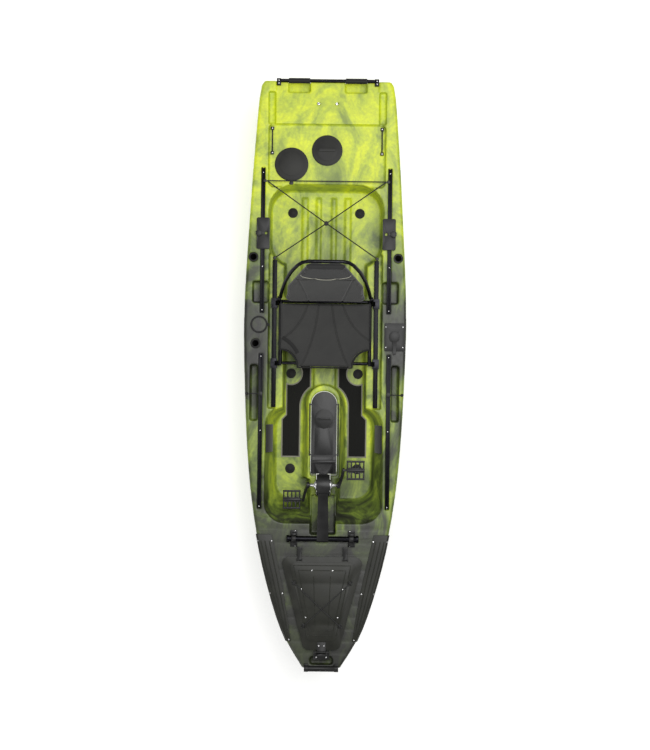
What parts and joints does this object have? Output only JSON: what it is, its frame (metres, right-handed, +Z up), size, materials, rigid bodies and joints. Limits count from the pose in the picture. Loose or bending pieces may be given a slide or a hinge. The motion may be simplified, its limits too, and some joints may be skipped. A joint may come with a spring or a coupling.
{
  "type": "pedal boat",
  "caption": "Sit-on-top pedal-drive fishing boat with tilting propeller drive, sliding sling seat, hatches, gear tracks and lever-steered rudder.",
  "frame": {"origin": "on the centreline, amidships, at the waterline", "axes": "+X to port, +Y towards the stern, +Z up"},
  "size_m": [1.0086, 3.6525, 1.1467],
  "materials": {
    "lime_hull": "rotomoulded polyethylene, lime to charcoal green, fine orange peel",
    "dark_lid": "rotomoulded dark olive polyethylene",
    "black_plastic": "moulded black nylon, light texture",
    "rubber_black": "moulded rubber, matt",
    "foam": "closed-cell foam mat, fine grooves, grey bevelled edge",
    "anodised": "dark anodised aluminium",
    "silver_alu": "satin aluminium tube",
    "steel": "stainless steel",
    "brass_steel": "stainless screw heads and inserts",
    "grey_mesh": "dark grey woven mesh",
    "cord": "braided elastic cord",
    "drive_grey": "glass-filled nylon, charcoal"
  },
  "bodies": {
    "boat": {"hull_bottom": "lime_hull", "deck_bow": "lime_hull", "deck_port": "lime_hull", "deck_starboard": "lime_hull", "deck_aft": "lime_hull", "bow_trims": "black_plastic", "bow_handle": "black_plastic", "stern_grab_bar": "anodised", "stern_grips": "rubber_black", "bow_hatch_gasket": "rubber_black", "bow_hatch_hinge": "black_plastic", "deck_fittings": "black_plastic", "drive_saddles": "black_plastic", "rear_hatch_rings": "black_plastic", "gear_tracks": "anodised", "tank_bungee": "cord", "scupper_plugs": "rubber_black", "rod_holders": "black_plastic", "holder_ring": "rubber_black", "steering_plate": "black_plastic", "steering_cables": "cord", "rudder_bracket": "black_plastic", "floor_mats": "foam", "side_nets": "grey_mesh", "seat_rails": "anodised", "screws_and_inserts": "brass_steel"},
    "hatch_lid": {"bow_hatch_lid": "dark_lid", "hatch_bungee": "cord", "hatch_pad_eyes": "black_plastic"},
    "hatch_strap_port": {"hatch_latch_port": "rubber_black"},
    "hatch_strap_starboard": {"hatch_latch_starboard": "rubber_black"},
    "drive_strap_port": {"drive_latch_port": "black_plastic"},
    "drive_strap_starboard": {"drive_latch_starboard": "black_plastic"},
    "large_lid": {"large_hatch_lid": "black_plastic"},
    "small_lid": {"small_hatch_lid": "black_plastic"},
    "bracket_port": {"track_bracket_port": "black_plastic"},
    "bracket_starboard": {"track_bracket_starboard": "black_plastic"},
    "knob_port": {"bracket_knob_port": "black_plastic"},
    "knob_starboard": {"bracket_knob_starboard": "black_plastic"},
    "lever": {"steering_lever": "black_plastic"},
    "rudder": {"rudder_stock": "black_plastic"},
    "rudder_foil": {"rudder_blade": "black_plastic"},
    "seat": {"seat_frame": "silver_alu", "seat_sling": "grey_mesh"},
    "backrest": {"backrest_frame": "silver_alu", "backrest_pad": "grey_mesh"},
    "drive": {"cross_tube": "anodised", "drive_housing": "drive_grey", "crank_bearings": "steel", "drive_leg": "drive_grey", "well_cover": "black_plastic"},
    "cranks": {"crank_axle": "steel", "crown_gear": "steel", "crank_arms": "black_plastic"},
    "pedal_left": {"pedal_port": "drive_grey"},
    "pedal_right": {"pedal_starboard": "drive_grey"},
    "shaft": {"vertical_shaft": "steel"},
    "prop": {"prop_shaft": "steel", "propeller": "drive_grey"},
    "cap": {"well_cap": "black_plastic"}
  },
  "joints": [
    {"name": "bow_hatch_open", "type": "hinge", "parent": "boat", "child": "hatch_lid", "pos_m": [0, -1.70876, 0.3094], "axis": [1, 0, 0], "range_deg": [0, 100]},
    {"name": "hatch_strap_port_lift", "type": "hinge", "parent": "hatch_lid", "child": "hatch_strap_port", "pos_m": [0.141, -1.14834, 0.26728], "axis": [1, 0, 0], "range_deg": [0, 110]},
    {"name": "hatch_strap_starboard_lift", "type": "hinge", "parent": "hatch_lid", "child": "hatch_strap_starboard", "pos_m": [-0.141, -1.14834, 0.26728], "axis": [1, 0, 0], "range_deg": [0, 110]},
    {"name": "drive_strap_port_lift", "type": "hinge", "parent": "boat", "child": "drive_strap_port", "pos_m": [0.178, -0.991, 0.246], "axis": [-1, 0, 0], "range_deg": [0, 130]},
    {"name": "drive_strap_starboard_lift", "type": "hinge", "parent": "boat", "child": "drive_strap_starboard", "pos_m": [-0.178, -0.991, 0.246], "axis": [-1, 0, 0], "range_deg": [0, 130]},
    {"name": "large_lid_lift", "type": "slide", "parent": "boat", "child": "large_lid", "axis": [0, 0, 1], "range_m": [0, 0.08]},
    {"name": "small_lid_lift", "type": "slide", "parent": "boat", "child": "small_lid", "axis": [0, 0, 1], "range_m": [0, 0.08]},
    {"name": "bracket_port_slide", "type": "slide", "parent": "boat", "child": "bracket_port", "axis": [0, 1, 0], "range_m": [-0.01, 0.18]},
    {"name": "bracket_starboard_slide", "type": "slide", "parent": "boat", "child": "bracket_starboard", "axis": [0, 1, 0], "range_m": [-0.01, 0.18]},
    {"name": "knob_port_turn", "type": "hinge", "parent": "bracket_port", "child": "knob_port", "pos_m": [0.417, 0.862, 0.22], "axis": [0, 0, 1], "continuous": true},
    {"name": "knob_starboard_turn", "type": "hinge", "parent": "bracket_starboard", "child": "knob_starboard", "pos_m": [-0.417, 0.862, 0.22], "axis": [0, 0, 1], "continuous": true},
    {"name": "steering", "type": "hinge", "parent": "boat", "child": "lever", "pos_m": [0.43, 0.229, 0.21], "axis": [0, 0, 1], "range_deg": [-35, 35]},
    {"name": "rudder_turn", "type": "hinge", "parent": "boat", "child": "rudder", "pos_m": [0, 1.64, 0.1], "axis": [0, 0, 1], "range_deg": [-42, 42]},
    {"name": "rudder_kick_up", "type": "hinge", "parent": "rudder", "child": "rudder_foil", "pos_m": [0, 1.692, 0.04], "axis": [1, 0, 0], "range_deg": [0, 90]},
    {"name": "seat_slide", "type": "slide", "parent": "boat", "child": "seat", "axis": [0, 1, 0], "range_m": [-0.18, 0.2]},
    {"name": "backrest_fold", "type": "hinge", "parent": "seat", "child": "backrest", "pos_m": [0, 0.455, 0.275], "axis": [1, 0, 0], "range_deg": [-12, 78]},
    {"name": "drive_tilt", "type": "hinge", "parent": "boat", "child": "drive", "pos_m": [0, -1.023, 0.246], "axis": [1, 0, 0], "range_deg": [0, 80]},
    {"name": "pedalling", "type": "hinge", "parent": "drive", "child": "cranks", "pos_m": [0, -0.688, 0.285], "axis": [1, 0, 0], "continuous": true},
    {"name": "pedal_port_spin", "type": "hinge", "parent": "cranks", "child": "pedal_left", "pos_m": [0.195, -0.58763, 0.39647], "axis": [1, 0, 0], "continuous": true},
    {"name": "pedal_starboard_spin", "type": "hinge", "parent": "cranks", "child": "pedal_right", "pos_m": [-0.195, -0.78837, 0.17353], "axis": [1, 0, 0], "continuous": true},
    {"name": "shaft_spin", "type": "hinge", "parent": "drive", "child": "shaft", "pos_m": [0, -0.688, 0], "axis": [0, 0, 1], "continuous": true},
    {"name": "prop_spin", "type": "hinge", "parent": "drive", "child": "prop", "pos_m": [0, -0.6, -0.32], "axis": [0, 1, 0], "continuous": true},
    {"name": "well_cap_lift", "type": "slide", "parent": "drive", "child": "cap", "axis": [0, 0, 1], "range_m": [0, 0.06]}
  ],
  "couplings": [
    {"joint": "shaft_spin", "follows": "pedalling", "ratio": 4},
    {"joint": "prop_spin", "follows": "pedalling", "ratio": -10},
    {"joint": "rudder_turn", "follows": "steering", "ratio": 1.2}
  ]
}
